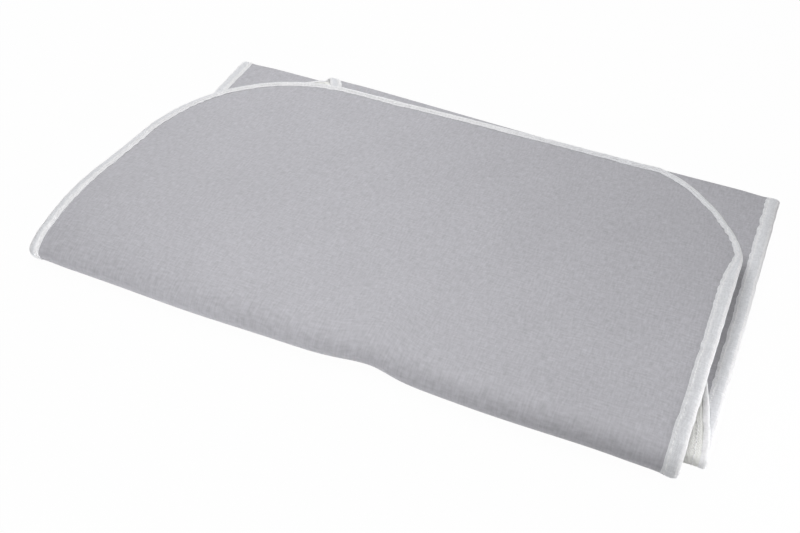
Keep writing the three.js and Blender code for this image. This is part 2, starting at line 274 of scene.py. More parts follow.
class Cover:
    """The flat pattern of the cover, and the way that it is folded."""

    def __init__(self, sizes):
        self.sizes = sizes
        self.half = sizes.width / 2
        plan = [
            ("heel_flap", sizes.flap_depth, 0),
            ("near_fold", NEAR_RADIUS, 1),
            ("base_panel", sizes.base_depth, 0),
            ("far_fold", SMALL_RADIUS, 1),
            ("middle_panel", sizes.middle_depth, 0),
            ("inner_near_fold", SMALL_RADIUS, -1),
            ("nose_panel", sizes.nose_depth, 0),
            ("inner_far_fold", SMALL_RADIUS, 1),
            ("nose_tip", sizes.tip_depth, 0),
        ]
        self.runs = {}
        start, point, heading = 0.0, (HEEL_EDGE_Y, 4 * PITCH + HALF_LAYER), math.pi
        for name, size, turn in plan:
            run = Run(start, size, turn, point, heading)
            self.runs[name] = run
            start, point, heading = run.end, run.middle(run.end), run.last_heading
        self.length = start
        self.taper_start = self.runs["nose_panel"].start
        self.taper = self.length - self.taper_start
        self.trace_outline()
        self.trace_leaf()

    def half_width(self, s):
        """Half the cover's width at s, without the heel corners."""
        along = np.clip((s - self.taper_start) / self.taper, 0.0, 1.0)
        return self.half * (1 - along**NOSE_ALONG) ** (1 / NOSE_ACROSS)

    def trace_outline(self):
        """The bound edge: from the tunnel's mouth up the left side, round the heel and back."""
        sizes = self.sizes
        mouth = math.acos((sizes.tunnel_mouth / sizes.width) ** (NOSE_ACROSS / 2))
        turn = np.linspace(mouth, 0.0, NOSE_POINTS)
        nose_s = self.taper_start + self.taper * np.sin(turn) ** (2 / NOSE_ALONG)
        nose_w = self.half * np.cos(turn) ** (2 / NOSE_ACROSS)
        quarter = np.linspace(0.0, math.pi / 2, CORNER_POINTS)
        sin, cos = np.sin(quarter), np.cos(quarter)
        left, right = sizes.heel_corner_left, sizes.heel_corner_right
        flat = 2 / CORNER_CURVE
        across = CORNER_ACROSS * right
        stretches = [
            (nose_s, -nose_w),
            (left * (1 - sin), left * (1 - cos) - self.half),
            (right * (1 - cos**flat), self.half - across * (1 - sin**flat)),
            (nose_s[::-1], nose_w[::-1]),
        ]
        s, w = (np.concatenate(values) for values in zip(*stretches))
        along = running(np.hypot(np.diff(s), np.diff(w)))
        along, first = np.unique(along, return_index=True)
        self.edge_t = np.linspace(0.0, along[-1], round(along[-1] / OUTLINE_STEP))
        self.edge_s = np.interp(self.edge_t, along, s[first])
        self.edge_w = np.interp(self.edge_t, along, w[first])
        ds, dw = np.gradient(self.edge_s, self.edge_t), np.gradient(self.edge_w, self.edge_t)
        size = np.hypot(ds, dw)
        self.edge_into = np.stack([dw / size, -ds / size], 1)
        self.tree = kdtree.KDTree(len(self.edge_t))
        for i, (at_s, at_w) in enumerate(zip(self.edge_s, self.edge_w)):
            self.tree.insert((at_s, at_w, 0.0), i)
        self.tree.balance()

    def trace_leaf(self):
        """Width of the tape's leaf, and its gathers, humps, puckers and sway, along the edge."""
        sizes, t, s = self.sizes, self.edge_t, self.edge_s
        folds = ("near_fold", "far_fold", "inner_near_fold")
        near, far, inner = (self.runs[name] for name in folds)
        on_left = self.edge_w < 0
        past_fold = smooth((s - near.end) / near.start)
        left_leaf = sizes.left_leaf + (sizes.side_leaf - sizes.left_leaf) * past_fold
        side_leaf = np.where(on_left, left_leaf, sizes.side_leaf)
        right_widening = (s - WIDE_FROM) / WIDE_RUN
        widening = np.where(on_left, s / sizes.heel_corner_left, right_widening)
        leaf = sizes.heel_leaf + (side_leaf - sizes.heel_leaf) * smooth(widening)
        in_corner = (self.edge_w > 0) & (s < sizes.heel_corner_right) & (s > CORNER_START)
        kernel = np.hanning(GATHER_POINTS)
        spread = np.convolve(in_corner.astype(float), kernel / kernel.sum(), mode="same")
        self.edge_gather = 1 + GATHER * spread
        leaf = leaf + wander(t, *LEAF_DRIFT)
        leaf = leaf + self.edge_gather * wander(t, *LEAF_FRAY)
        turns = t / SCALLOP_LENGTH + wander(t, *SCALLOP_SHIFT)
        scallops = np.abs(np.sin(math.pi * turns)) - SCALLOP_MEAN
        depth = SCALLOP_USUAL + wander(t, *SCALLOP_CHANGE)
        scallops = scallops * np.clip(depth, SCALLOP_LEAST, 1.0)
        self.edge_leaf = leaf + SCALLOP * self.edge_gather * scallops
        on_flap = FLAP_HUMP * smooth((near.end - s) / (near.end - near.start))
        rising, falling = (s - far.end) / HUMP_RUN, (inner.start - s) / HUMP_RUN
        self.edge_hump = on_flap + MIDDLE_HUMP * smooth(rising) * smooth(falling)
        self.edge_lift = self.edge_gather * wander(t, *LIFT)
        self.edge_sway = self.edge_gather * wander(t, *SWAY)

    def from_edge(self, s, w):
        """Distance of pattern places from the bound edge, and the nearest point of the outline."""
        found = [self.tree.find((at_s, at_w, 0.0)) for at_s, at_w in zip(s.ravel(), w.ravel())]
        _, near, away = zip(*found)
        return np.reshape(away, s.shape), np.reshape(near, s.shape)

    def sides(self, s, inset):
        """Left and right end of a row at s, so far in from the bound edge."""
        in_s, in_w = np.stack([self.edge_s, self.edge_w]) + inset * self.edge_into.T
        heel = int(np.argmin(self.edge_s + np.abs(self.edge_w) * TO_MIDDLE))
        left = np.interp(s, in_s[heel::-1], in_w[heel::-1])
        right = np.interp(s, in_s[heel:], in_w[heel:])
        return left, right

    def drift(self, s, w):
        """Sideways shift of the layer at s."""
        base, nose, tip = (self.runs[name] for name in ("base_panel", "nose_panel", "nose_tip"))
        flap, out = -self.sizes.flap_drift, -self.sizes.nose_drift
        stops = base.start, base.end, nose.start, nose.end - NOSE_FLARE, tip.start
        shifts = flap, 0.0, 0.0, out, NOSE_REST * out
        return np.interp(s, stops, shifts) - self.reach(s, w)

    def reach(self, s, w):
        """How far the left end of the far fold stands out."""
        near_it = smooth(1 - self.runs["far_fold"].away(s) / REACH_FADE)
        return self.sizes.far_reach * near_it * smooth(-w / self.half)

    def dent(self, s, x):
        """Push into the near fold, which fades along the panels that the fold joins.

        The dent and the skewed right end go in, the lobes stand out, and the top slopes back."""
        sizes, fold = self.sizes, self.runs["near_fold"]
        at = x + sizes.flap_drift
        across = at - DENT_AT
        dented = bell(across / np.where(across < 0, DENT_LEFT, DENT_RIGHT))
        push = sizes.dent_depth * dented
        push = push + sizes.fold_skew * np.clip(0.5 + across / sizes.width, 0.0, 1.0)
        for place, wide, deep in LOBES:
            push = push - deep * bell((at - place) / wide)
        slope = sizes.fold_slope * (1 + DENT_SLOPE * dented)
        top_half = np.minimum(fold.passed(s), 0.5)
        push = push + slope * np.cos(math.pi * top_half) ** 2
        return push * (1 - smooth(fold.away(s) / DENT_FADE))

    def slant(self, s, x):
        """The nose's far fold lies nearer at its right end than at its left."""
        grown = self.runs["nose_panel"].passed(s)
        return -self.sizes.nose_slant * (x + self.half / 2) * grown

    def crown(self, s, x):
        """Arch of the flap from heel edge to near fold: higher on the left, and nearer there."""
        deep, leftward = self.sizes.flap_depth, smooth(-x / self.half)
        lean = CROWN_LEAN + (LEFT_LEAN - CROWN_LEAN) * leftward
        height = self.sizes.flap_crown * (1 + (LEFT_CROWN - 1) * leftward)
        along = np.clip(s / deep, 0.0, 1.0)
        peak = 0.5 ** (1 / lean)
        rise = np.sin(math.pi * along**lean) ** 2
        fall = 1 - ((along - peak) / (1 - peak)) ** 2
        arch = np.where(along < peak, rise, fall)
        slope = 2 / (deep * (1 - peak))
        past = np.clip((s - deep) / ROLL_IN, 0.0, 1.0)
        return height * (arch - slope * ROLL_IN * past * (1 - past) ** 2)

    def droop(self, s, x, y):
        """Hang of the flap past the edge of the nose panel under it."""
        nose = self.runs["nose_panel"]
        under = nose.start + np.maximum(0.0, y - nose.point[0])
        from_middle = np.abs(x - self.drift(under, np.zeros_like(x)))
        past = from_middle - self.half_width(under) - DROOP_MARGIN
        side = np.where(x < 0, LEFT_DROOP, 1.0)
        hang = self.sizes.flap_droop * smooth(past / DROOP_RUN) * side
        return np.where(s > self.sizes.flap_depth, 0.0, hang)

    def ripple(self, s, w):
        """Faint unevenness of the flap."""
        flap = smooth((self.runs["near_fold"].start - s) / RIPPLE_FADE)
        waves = sum(np.sin(s / a + w / b + phase) for a, b, phase in RIPPLE_WAVES)
        return RIPPLE * flap * waves

    def middle(self, s, w):
        """Folded place of points on the middle of the layers."""
        y, z = np.empty_like(s), np.empty_like(s)
        held = np.clip(s, 0.0, self.length)
        for run in self.runs.values():
            on = (held >= run.start) & (held <= run.end)
            y[on], z[on] = run.middle(s[on])
        x = w + self.drift(s, w)
        z = z + self.crown(s, x) - self.droop(s, x, y) + self.ripple(s, w)
        y = y + self.dent(s, x) + self.slant(s, x) + REACH_BACK * self.reach(s, w)
        return np.stack([x + CENTRE_X, y, z], -1)

    def place(self, s, w, n):
        """Folded place of points at height n over the middle of the layers."""
        s, w, n = np.broadcast_arrays(*(np.asarray(values, float) for values in (s, w, n)))
        along = self.middle(s + NORMAL_STEP, w) - self.middle(s - NORMAL_STEP, w)
        across = self.middle(s, w + NORMAL_STEP) - self.middle(s, w - NORMAL_STEP)
        return self.middle(s, w) + unit(np.cross(along, across)) * n[..., None]


def spaced(first, *stretches):
    """Values from the first on, in stretches of (end, longest step)."""
    values = [np.array([first])]
    for end, step in stretches:
        begin = values[-1][-1]
        count = max(1, math.ceil((end - begin) / step))
        values.append(np.linspace(begin, end, count + 1)[1:])
    return np.concatenate(values)


def quads(a, b, c, d):
    return np.stack([a.ravel(), b.ravel(), c.ravel(), d.ravel()], 1)


def closed_sheet(outer, inner):
    """Points and faces of a closed sheet between two grids of points."""
    rows, cols = outer.shape[:2]
    top = np.arange(rows * cols).reshape(rows, cols)
    under = top + rows * cols
    faces = [
        quads(top[:-1, :-1], top[:-1, 1:], top[1:, 1:], top[1:, :-1]),
        quads(under[:-1, :-1], under[1:, :-1], under[1:, 1:], under[:-1, 1:]),
    ]
    for side in (np.s_[0, :], np.s_[-1, ::-1], np.s_[::-1, 0], np.s_[:, -1]):
        a, b = top[side], under[side]
        faces.append(quads(a[:-1], b[:-1], b[1:], a[1:]))
    points = np.concatenate([outer.reshape(-1, 3), inner.reshape(-1, 3)])
    return points, np.concatenate(faces)


def both_sides(a, b):
    """A pair of values for each point of a closed sheet, alike on its two sides."""
    return np.tile(np.stack([a, b], -1).reshape(-1, 2), (2, 1))


def turned_outward(points, faces):
    """The faces, with their order reversed if they enclose a negative volume."""
    a, b, c, d = (points[faces[:, k]] for k in range(4))
    volume = (a * np.cross(b, c)).sum() + (a * np.cross(c, d)).sum()
    return faces[:, ::-1] if volume < 0 else faces


def add_map(mesh, name, values):
    """A UV map from one pair of values for each point."""
    corners = np.empty(len(mesh.loops), np.int32)
    mesh.loops.foreach_get("vertex_index", corners)
    layer = mesh.uv_layers.new(name=name)
    layer.uv.foreach_set("vector", values[corners].astype(np.float32).ravel())


SHARP_EDGE = math.radians(52)


def add_piece(name, points, faces, pattern, material):
    """A smooth mesh piece with its pattern places as a UV map."""
    mesh = bpy.data.meshes.new(name)
    mesh.from_pydata(points, [], turned_outward(points, faces).tolist())
    if mesh.validate():
        raise RuntimeError(f"{name} has faces that don't hold together")
    add_map(mesh, PATTERN_MAP, pattern)
    mesh.shade_smooth()
    mesh.set_sharp_from_angle(angle=SHARP_EDGE)
    mesh.materials.append(material)
    piece = bpy.data.objects.new(name, mesh)
    bpy.context.scene.collection.objects.link(piece)
    return piece


SMALL_FOLDS = ("far_fold", "inner_near_fold", "inner_far_fold")
# Stretches of the fold plan, by their order: the heel flap with its near fold, and the rest on the
# stack
PARTS = {"turning": slice(0, 2), "lying": slice(2, None)}
JOIN = 35 * MM  # how much of the base panel is made with the turning part, so that no join shows


def hold_piece(piece, part):
    """The lying part is attached to the stack, and the turning part has its transform baked in."""
    if part == "lying":
        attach(piece, STACK)
        return
    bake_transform(piece)


# Grid of the cloths: bands along edges and folds, and the longest steps
EDGE_INSET = 4.4 * MM
HEEL_BAND, HEEL_STEP, FLAP_STEP = 16 * MM, 1.3 * MM, 3.2 * MM
FOLD_BEFORE, FOLD_AFTER, NEAR_STEP = 24 * MM, 10 * MM, 1.2 * MM
PANEL_STEP, FOLD_STEP = 5 * MM, 0.5 * MM
TIP_GAP, TIP_BAND, TIP_STEP = 0.6 * MM, 14 * MM, 0.8 * MM
SIDE_BAND, SIDE_STEP, MIDDLE_STEP = 16 * MM, 1.6 * MM, 3.6 * MM


def row_places(cover, part):
    """Rows along the pattern for a part of the cover, closer together at folds and bound ends."""
    run = cover.runs
    join = run["base_panel"].start + JOIN
    if part == "turning":
        return spaced(
            EDGE_INSET,
            (EDGE_INSET + HEEL_BAND, HEEL_STEP),
            (run["near_fold"].start - FOLD_BEFORE, FLAP_STEP),
            (run["near_fold"].end + FOLD_AFTER, NEAR_STEP),
            (join, FLAP_STEP),
        )
    stretches = []
    for name in SMALL_FOLDS:
        stretches += [(run[name].start, PANEL_STEP), (run[name].end, FOLD_STEP)]
    tip_end = cover.length - EDGE_INSET - TIP_GAP
    return spaced(join, *stretches, (tip_end - TIP_BAND, PANEL_STEP), (tip_end, TIP_STEP))


def cloth_grid(cover, part):
    """Pattern places of a cloth grid from bound edge to bound edge, finer near the edges."""
    rows = row_places(cover, part)
    width = cover.sizes.width
    bands = (SIDE_BAND, SIDE_STEP), (width - SIDE_BAND, MIDDLE_STEP), (width, SIDE_STEP)
    across = spaced(0.0, *bands) / width
    left, right = cover.sides(rows, EDGE_INSET)
    w = left[:, None] * (1 - across) + right[:, None] * across
    s = np.broadcast_to(rows[:, None], w.shape).copy()
    return s, w


def flat_area(s, w):
    """Area of a grid of pattern places laid flat."""
    deep = np.diff(s[:, 0])
    wide = w[:, -1] - w[:, 0]
    return float((deep * (wide[1:] + wide[:-1]) / 2).sum())


# How the cloths swell from the seam to their full thickness
UNDER_LEAF, BESIDE_LEAF = 1.28 * MM, 1.5 * MM
STITCH_INSET, SEWN_DEPTH, SEWN_WIDTH = 2.2 * MM, 0.5 * MM, 1.3 * MM
STEP_AHEAD, STEP_RUN = 2 * MM, 3.2 * MM
SWELL_START, SWELL_RUN = 1 * MM, 24 * MM
OPEN_AHEAD, OPEN_RUN = 1 * MM, 3 * MM
PUCKER, PUCKER_RISE, PUCKER_END = 0.9, 3 * MM, 14 * MM


def cloth_heights(cover, s, w):
    """Heights of the face cloth's upper side and the felt's lower side, thin between the leaves."""
    away, near = cover.from_edge(s, w)
    past = away - cover.edge_leaf[near]
    leaf_step = smooth((past + STEP_AHEAD) / STEP_RUN)
    upper = UNDER_LEAF + (BESIDE_LEAF - UNDER_LEAF) * leaf_step
    upper = upper + (HALF_LAYER - BESIDE_LEAF) * smooth((past - SWELL_START) / SWELL_RUN)
    fading = smooth(past / PUCKER_RISE) * smooth(1 - past / PUCKER_END)
    pucker = PUCKER * cover.edge_lift[near] * fading
    opening = smooth((away - cover.sizes.back_leaf + OPEN_AHEAD) / OPEN_RUN)
    lower = UNDER_LEAF + (HALF_LAYER - UNDER_LEAF) * opening
    sewn = SEWN_DEPTH * bell((past + STITCH_INSET) / SEWN_WIDTH) * opening
    return upper + pucker, sewn - lower


def add_cloth(cover, part, label, layer, places, heights, material):
    """A part of one cloth, between two heights over its pattern places."""
    s, w = places
    points, faces = closed_sheet(*(cover.place(s, w, height) for height in heights))
    piece = add_piece(f"{label}_{part}", points, faces, both_sides(w, s), material)
    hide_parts(*[f"{stretch}_{layer}" for stretch in list(cover.runs)[PARTS[part]]])
    hold_piece(piece, part)
    flat_area(s, w)


class COVER_OT_face_cloth(bpy.types.Operator):
    """Make the metallised face cloth: a part for the heel flap with its near fold, and a part that
    stays on the stack.
    """

    bl_idname = "cover.face_cloth"
    bl_label = "Face cloth"

    def execute(self, context):
        cover = Cover(context.scene.cover_sizes)
        cotton = cloth_material("Metallised cotton")
        for part in PARTS:
            places = cloth_grid(cover, part)
            upper = cloth_heights(cover, *places)[0]
            heights = upper, upper - cover.sizes.face
            add_cloth(cover, part, "face_cloth", "face", places, heights, cotton)
        return {"FINISHED"}


class COVER_OT_felt_underlay(bpy.types.Operator):
    """Make the felt underlay: a part for the heel flap with its near fold, and a part that stays on
    the stack.
    """

    bl_idname = "cover.felt_underlay"
    bl_label = "Felt underlay"

    SLACK, LUMP = 0.05 * MM, 0.07 * MM
    FINE_S, FINE_W = 1.9 * MM, 2.3 * MM
    WIDE_S, WIDE_W = 4.1 * MM, 3.3 * MM

    def execute(self, context):
        cover = Cover(context.scene.cover_sizes)
        felt = cloth_material("Needled felt")
        for part in PARTS:
            places = cloth_grid(cover, part)
            upper, lower = cloth_heights(cover, *places)
            heights = upper - cover.sizes.face - self.SLACK, lower + self.lumps(*places)
            add_cloth(cover, part, "felt_underlay", "underlay", places, heights, felt)
        return {"FINISHED"}

    def lumps(self, s, w):
        """Small hollows all over the felt's lower side."""
        fine = np.sin(s / self.FINE_S) * np.sin(w / self.FINE_W)
        wide = np.sin(s / self.WIDE_S + w / self.WIDE_W)
        return np.abs(self.LUMP * (fine + wide))


HEM, VALLEY, VALLEY_WIDTH = 1.76 * MM, 0.16 * MM, 0.7 * MM
CREST = 0.46  # share of the leaf between the bound edge and the tape's crest
LIFTED = 0.6  # share of the puckers' lift that the tape takes
# The tape's section: shares of the way from hem to crest, points round the edge, hem on the felt
TO_CREST = np.array([0.0, 0.05, 0.14, 0.24, 0.34, 0.42, 0.5, 0.6, 0.72, 0.86])
OVER_POINTS, UNDER_POINTS = 8, 6
BACK_IN = np.array([1.4, 0.6, 0.0]) * MM
BACK_HEIGHTS = np.array([-2.02, -1.95, -1.86]) * MM
BACK_FOLLOWS = 0.4
# Where the tape is painted whiter: at its doubled hem and where it lies on felt, less on the right
# as painted shade, and near the heel's left end as painted light
DOUBLED, DOUBLED_FADE, RIGHT_PAINTED_SHADE = 3.0 * MM, 0.9 * MM, 0.7
ON_FELT, ON_FELT_FADE = 1.6 * MM, 1.4 * MM
HEEL_PAINTED_LIGHT, HEEL_END, HEEL_FADE = 0.9, 36 * MM, 24 * MM


def leaf_height(cover, index, from_hem):
    """Height of the tape's upper side, so far out from its stitched hem toward the crest."""
    leaf, crest = cover.edge_leaf[index], HALF_LAYER + cover.edge_hump[index]
    rise = smooth(from_hem / (leaf * (1 - CREST)))
    valley = VALLEY * bell((from_hem - STITCH_INSET) / VALLEY_WIDTH)
    return HEM + (crest - HEM) * rise - valley + LIFTED * cover.edge_lift[index]


def tape_section(cover, index):
    """The tape's outer side at outline points, round from hem to hem.

    Gives the distance from the bound edge, the height, and how white the tape is: its doubled hem
    and felt side, less on the right as painted shade, and more near the heel's left end as painted
    light."""
    column = index[:, None]
    leaf, hump = cover.edge_leaf[column], cover.edge_hump[column]
    from_hem = TO_CREST * leaf * (1 - CREST)
    inner_q, inner_n = leaf - from_hem, leaf_height(cover, column, from_hem)
    over = np.linspace(0.0, math.pi / 2, OVER_POINTS)
    edge_q = leaf * CREST * (1 - np.sin(over))
    edge_n = (HALF_LAYER + hump + LIFTED * cover.edge_lift[column]) * np.cos(over)
    under = np.linspace(0.0, math.pi / 2, UNDER_POINTS)[1:]
    under_q = HALF_LAYER * (1 - np.cos(under)) + 0 * leaf
    under_n = -HALF_LAYER * np.sin(under) + 0 * leaf
    back_q = cover.sizes.back_leaf - BACK_IN + BACK_FOLLOWS * (leaf - leaf.mean())
    back_n = BACK_HEIGHTS + 0 * leaf
    q = np.concatenate([inner_q, edge_q, under_q, back_q], 1)
    n = np.concatenate([inner_n, edge_n, under_n, back_n], 1)
    right = smooth(cover.edge_w[column] / (cover.half / 2))
    # Painted shade: the doubled hem's white is less on the right, where less light falls
    doubled = (1 - RIGHT_PAINTED_SHADE * right) * (1 - smooth((leaf - q - DOUBLED) / DOUBLED_FADE))
    on_felt = np.where(n < 0, 1.0, 1 - smooth((q - ON_FELT) / ON_FELT_FADE))
    # Painted light: the tape near the heel edge is whiter on its left part, where the left softbox
    # lights it
    heel_painted_light = HEEL_PAINTED_LIGHT * smooth((HEEL_END - cover.edge_s[column]) / HEEL_FADE) * (1 - right)
    return q, n, np.maximum(np.maximum(doubled, on_felt), heel_painted_light)


TAPE_STEP, TAPE_MARGIN = 1.7 * MM, 3 * MM


def tape_stretches(cover):
    """Part, name and outline points of each stretch of tape, with the points closer at folds."""
    step = np.full_like(cover.edge_t, TAPE_STEP)
    for name in SMALL_FOLDS:
        step[cover.runs[name].away(cover.edge_s) < TAPE_MARGIN] = FOLD_STEP
    turning = np.flatnonzero(cover.edge_s <= cover.runs["base_panel"].start + JOIN)
    first, last = turning[0], turning[-1]
    for part, name, begin, end in (
        ("turning", "heel", first, last),
        ("lying", "left", 0, first),
        ("lying", "right", last, len(cover.edge_t) - 1),
    ):
        count = running(np.diff(cover.edge_t[begin : end + 1]) / step[begin:end])
        wanted = np.linspace(0.0, count[-1], math.ceil(count[-1]) + 1)
        index = np.round(np.interp(wanted, count, np.arange(len(count)))).astype(int)
        yield part, name, begin + index


def tape_places(cover, index, q):
    """Pattern places at distances q in from outline points."""
    q = q - cover.edge_sway[index][:, None]
    s = cover.edge_s[index][:, None] + q * cover.edge_into[index][:, :1]
    w = cover.edge_w[index][:, None] + q * cover.edge_into[index][:, 1:]
    return s, w


class COVER_OT_binding_tape(bpy.types.Operator):
    """Make the folded binding tape: a part round the heel flap and two that stay on the stack."""

    bl_idname = "cover.binding_tape"
    bl_label = "Binding tape"

    THIN_HEM, THIN_RUN = 0.65, 1.5 * MM

    def execute(self, context):
        cover = Cover(context.scene.cover_sizes)
        tape = cloth_material("Woven tape")
        for part, name, index in tape_stretches(cover):
            q, n, white = tape_section(cover, index)
            in_q, in_n = self.inner_side(cover, index, q, n)
            outer = cover.place(*tape_places(cover, index, q), n)
            inner = cover.place(*tape_places(cover, index, in_q), in_n)
            points, faces = closed_sheet(outer, inner)
            around = running(np.hypot(np.diff(q), np.diff(n)))
            along = np.broadcast_to(cover.edge_t[index][:, None], around.shape)
            pattern = both_sides(along, around)
            piece = add_piece(f"binding_tape_{name}", points, faces, pattern, tape)
            # The whiter share: doubled hem and felt side, with painted shade on the right and
            # painted light at the heel
            add_map(piece.data, HEM_AND_LIGHT_MAP, both_sides(white, white))
            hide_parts(*self.nodes(cover, name))
            hold_piece(piece, part)
        return {"FINISHED"}

    def inner_side(self, cover, index, q, n):
        """The tape's inner side, one thickness in from the outer one and thinner at the hems."""
        along_q, along_n = np.gradient(q, axis=1), np.gradient(n, axis=1)
        size = np.hypot(along_q, along_n)
        hem = np.where(n > 0, cover.edge_leaf[index][:, None], q[:, -1:])
        grown = smooth(np.abs(hem - q) / self.THIN_RUN)
        wall = cover.sizes.tape * (self.THIN_HEM + (1 - self.THIN_HEM) * grown)
        return q - wall * along_n / size, n + wall * along_q / size

    def nodes(self, cover, name):
        """CAD nodes that a stretch of tape stands for."""
        if name != "heel":
            return [f"{stretch}_binding_{name}" for stretch in list(cover.runs)[PARTS["lying"]]]
        sides = ("left", "left_corner", "heel", "right_corner", "right")
        around = [f"heel_flap_binding_{side}" for side in sides]
        return around + [f"near_fold_binding_{side}" for side in ("left", "right")]


class COVER_OT_stitching(bpy.types.Operator):
    """Sew the tape down: a row of stitches on each side of the cover."""

    bl_idname = "cover.stitching"
    bl_label = "Stitching"

    RINGS, SIDES = 5, 6
    GAP, LEAN = 0.35 * MM, 0.22 * MM
    BOW, SINK = 1.3, 0.5  # rise of a stitch's middle and depth of its ends, in thread radii
    BACK_SINK, END_SHARE = 0.45 * MM, 0.55

    def execute(self, context):
        cover = Cover(context.scene.cover_sizes)
        thread = cloth_material("Sewing thread")
        for part, name, index in tape_stretches(cover):
            points, faces, pattern = self.stitches(cover, index[0], index[-1])
            piece = add_piece(f"stitching_{name}", points, faces, pattern, thread)
            hold_piece(piece, part)
        return {"FINISHED"}

    def stitches(self, cover, first, last):
        """Tubes of all stitches between two outline points, on both sides of the cover."""
        stitch, radius = cover.sizes.stitch, cover.sizes.thread / 2
        begin, end = cover.edge_t[first] + stitch / 2, cover.edge_t[last] - stitch / 2
        starts = np.arange(begin, end - stitch, stitch)
        part = np.linspace(0.0, 1.0, self.RINGS)
        t = starts[:, None] + self.GAP / 2 + part * (stitch - self.GAP)
        index = np.clip(np.round(t / OUTLINE_STEP).astype(int), 0, len(cover.edge_t) - 1)
        lean = self.LEAN * (2 * part - 1)
        bow = radius * (self.BOW * np.sin(math.pi * part) - self.SINK)
        q = cover.edge_leaf[index] - STITCH_INSET - lean - cover.edge_sway[index]
        s = np.interp(t, cover.edge_t, cover.edge_s) + q * cover.edge_into[index, 0]
        w = np.interp(t, cover.edge_t, cover.edge_w) + q * cover.edge_into[index, 1]
        rows = []
        over, under = leaf_height(cover, index, STITCH_INSET), HALF_LAYER - self.BACK_SINK
        for side, level in ((1, over), (-1, under)):
            centre = cover.place(s, w, side * (level + bow))
            above = cover.place(s, w, side * (level + bow + radius))
            rows.append(self.tubes(centre, above - centre, radius))
        tubes = np.concatenate(rows)
        count = len(tubes)
        base = np.arange(count) * self.RINGS * self.SIDES
        faces = (base[:, None, None] + self.tube_faces()).reshape(-1, 4)
        pattern = np.zeros((count, self.RINGS, self.SIDES, 2))
        pattern[..., 0] = np.arange(count)[:, None, None] * stitch
        pattern[..., 1] = part[:, None] * stitch
        return tubes.reshape(-1, 3), faces, pattern.reshape(-1, 2)

    def tubes(self, centre, up, radius):
        """Rings of points round each stitch's middle line, drawn in at its ends."""
        up = unit(up)
        side = np.cross(unit(np.gradient(centre, axis=1)), up)
        turn = np.linspace(0.0, 2 * math.pi, self.SIDES, endpoint=False)[:, None]
        ring = np.cos(turn) * side[:, :, None] + np.sin(turn) * up[:, :, None]
        thin = np.ones(self.RINGS)
        thin[[0, -1]] = self.END_SHARE
        return centre[:, :, None] + radius * thin[None, :, None, None] * ring

    def tube_faces(self):
        """Faces of one stitch, with closed ends."""
        ring = np.arange(self.RINGS * self.SIDES).reshape(self.RINGS, self.SIDES)
        after = np.roll(ring, -1, axis=1)
        walls = quads(ring[:-1], after[:-1], after[1:], ring[1:])
        low, high = ring[0], ring[-1]
        ends = [low[[3, 2, 1, 0]], low[[5, 4, 3, 0]], high[[0, 1, 2, 3]], high[[0, 3, 4, 5]]]
        return np.concatenate([walls, ends])


def add_node(tree, kind, inputs=None, **settings):
    """A new node, with inputs that are linked to sockets or set to plain values."""
    node = tree.nodes.new(kind)
    for name, value in settings.items():
        setattr(node, name, value)
    for name, value in (inputs or {}).items():
        if isinstance(value, bpy.types.NodeSocket):
            tree.links.new(value, node.inputs[name])
        else:
            node.inputs[name].default_value = value
    return node


def number(tree, operation, *values):
    """Result of a calculation with numbers."""
    inputs = dict(enumerate(values))
    return add_node(tree, "ShaderNodeMath", inputs, operation=operation).outputs[0]


def vector(tree, operation, inputs):
    """Result of a calculation with vectors."""
    return add_node(tree, "ShaderNodeVectorMath", inputs, operation=operation).outputs[0]


def noise(tree, place, scale, detail):
    inputs = {"Vector": place, "Scale": scale, "Detail": detail}
    return add_node(tree, "ShaderNodeTexNoise", inputs).outputs[0]


def new_group(name, sizes, results):
    """A shader node group that takes a place and sizes: tree, input sockets, output node."""
    tree = bpy.data.node_groups.new(name, "ShaderNodeTree")
    tree.interface.new_socket("Place", in_out="INPUT", socket_type="NodeSocketVector")
    for label, default in sizes.items():
        socket = tree.interface.new_socket(label, in_out="INPUT", socket_type="NodeSocketFloat")
        socket.default_value = default
    for label in results:
        tree.interface.new_socket(label, in_out="OUTPUT", socket_type="NodeSocketFloat")
    return tree, add_node(tree, "NodeGroupInput").outputs, add_node(tree, "NodeGroupOutput")


def plain_weave():
    """Group: height of crossing threads, over and under."""
    tree, given, made = new_group("Plain weave", {"Thread spacing": 0.5 * MM}, ["Height"])
    turns = number(tree, "DIVIDE", math.pi, given["Thread spacing"])
    turned = vector(tree, "SCALE", {0: given["Place"], "Scale": turns})
    split = add_node(tree, "ShaderNodeSeparateXYZ", {0: turned})
    waves = [number(tree, "COSINE", split.outputs[axis]) for axis in ("X", "Y")]
    over = number(tree, "MULTIPLY", *waves)
    height = number(tree, "MULTIPLY_ADD", over, 0.5, 0.5)
    tree.links.new(height, made.inputs["Height"])
    return tree


STREAK, YARN_DETAIL, PATCH_DETAIL = 0.22, 2.0, 3.0


def yarn_grain():
    """Group: uneven yarns, as streaks along both thread directions, and soft patches."""
    sizes = {"Yarn width": 1 * MM, "Patch size": 30 * MM}
    tree, given, made = new_group("Yarn grain", sizes, ["Yarns", "Patches"])
    finer = number(tree, "DIVIDE", 1.0, given["Yarn width"])
    streaks = []
    for stretch in ((1.0, STREAK, 1.0), (STREAK, 1.0, 1.0)):
        drawn = vector(tree, "MULTIPLY", {0: given["Place"], 1: stretch})
        streaks.append(noise(tree, drawn, finer, YARN_DETAIL))
    mean = number(tree, "MULTIPLY", number(tree, "ADD", *streaks), 0.5)
    wider = number(tree, "DIVIDE", 1.0, given["Patch size"])
    patches = noise(tree, given["Place"], wider, PATCH_DETAIL)
    tree.links.new(mean, made.inputs["Yarns"])
    tree.links.new(patches, made.inputs["Patches"])
    return tree


USUAL_LOW, USUAL_HIGH = 0.3, 0.7


def shaded(tree, source, low, high):
    """A value from a noise, spread from its usual range to another one."""
    inputs = {"Value": source, "From Min": USUAL_LOW, "From Max": USUAL_HIGH}
    inputs |= {"To Min": low, "To Max": high}
    return add_node(tree, "ShaderNodeMapRange", inputs).outputs["Result"]


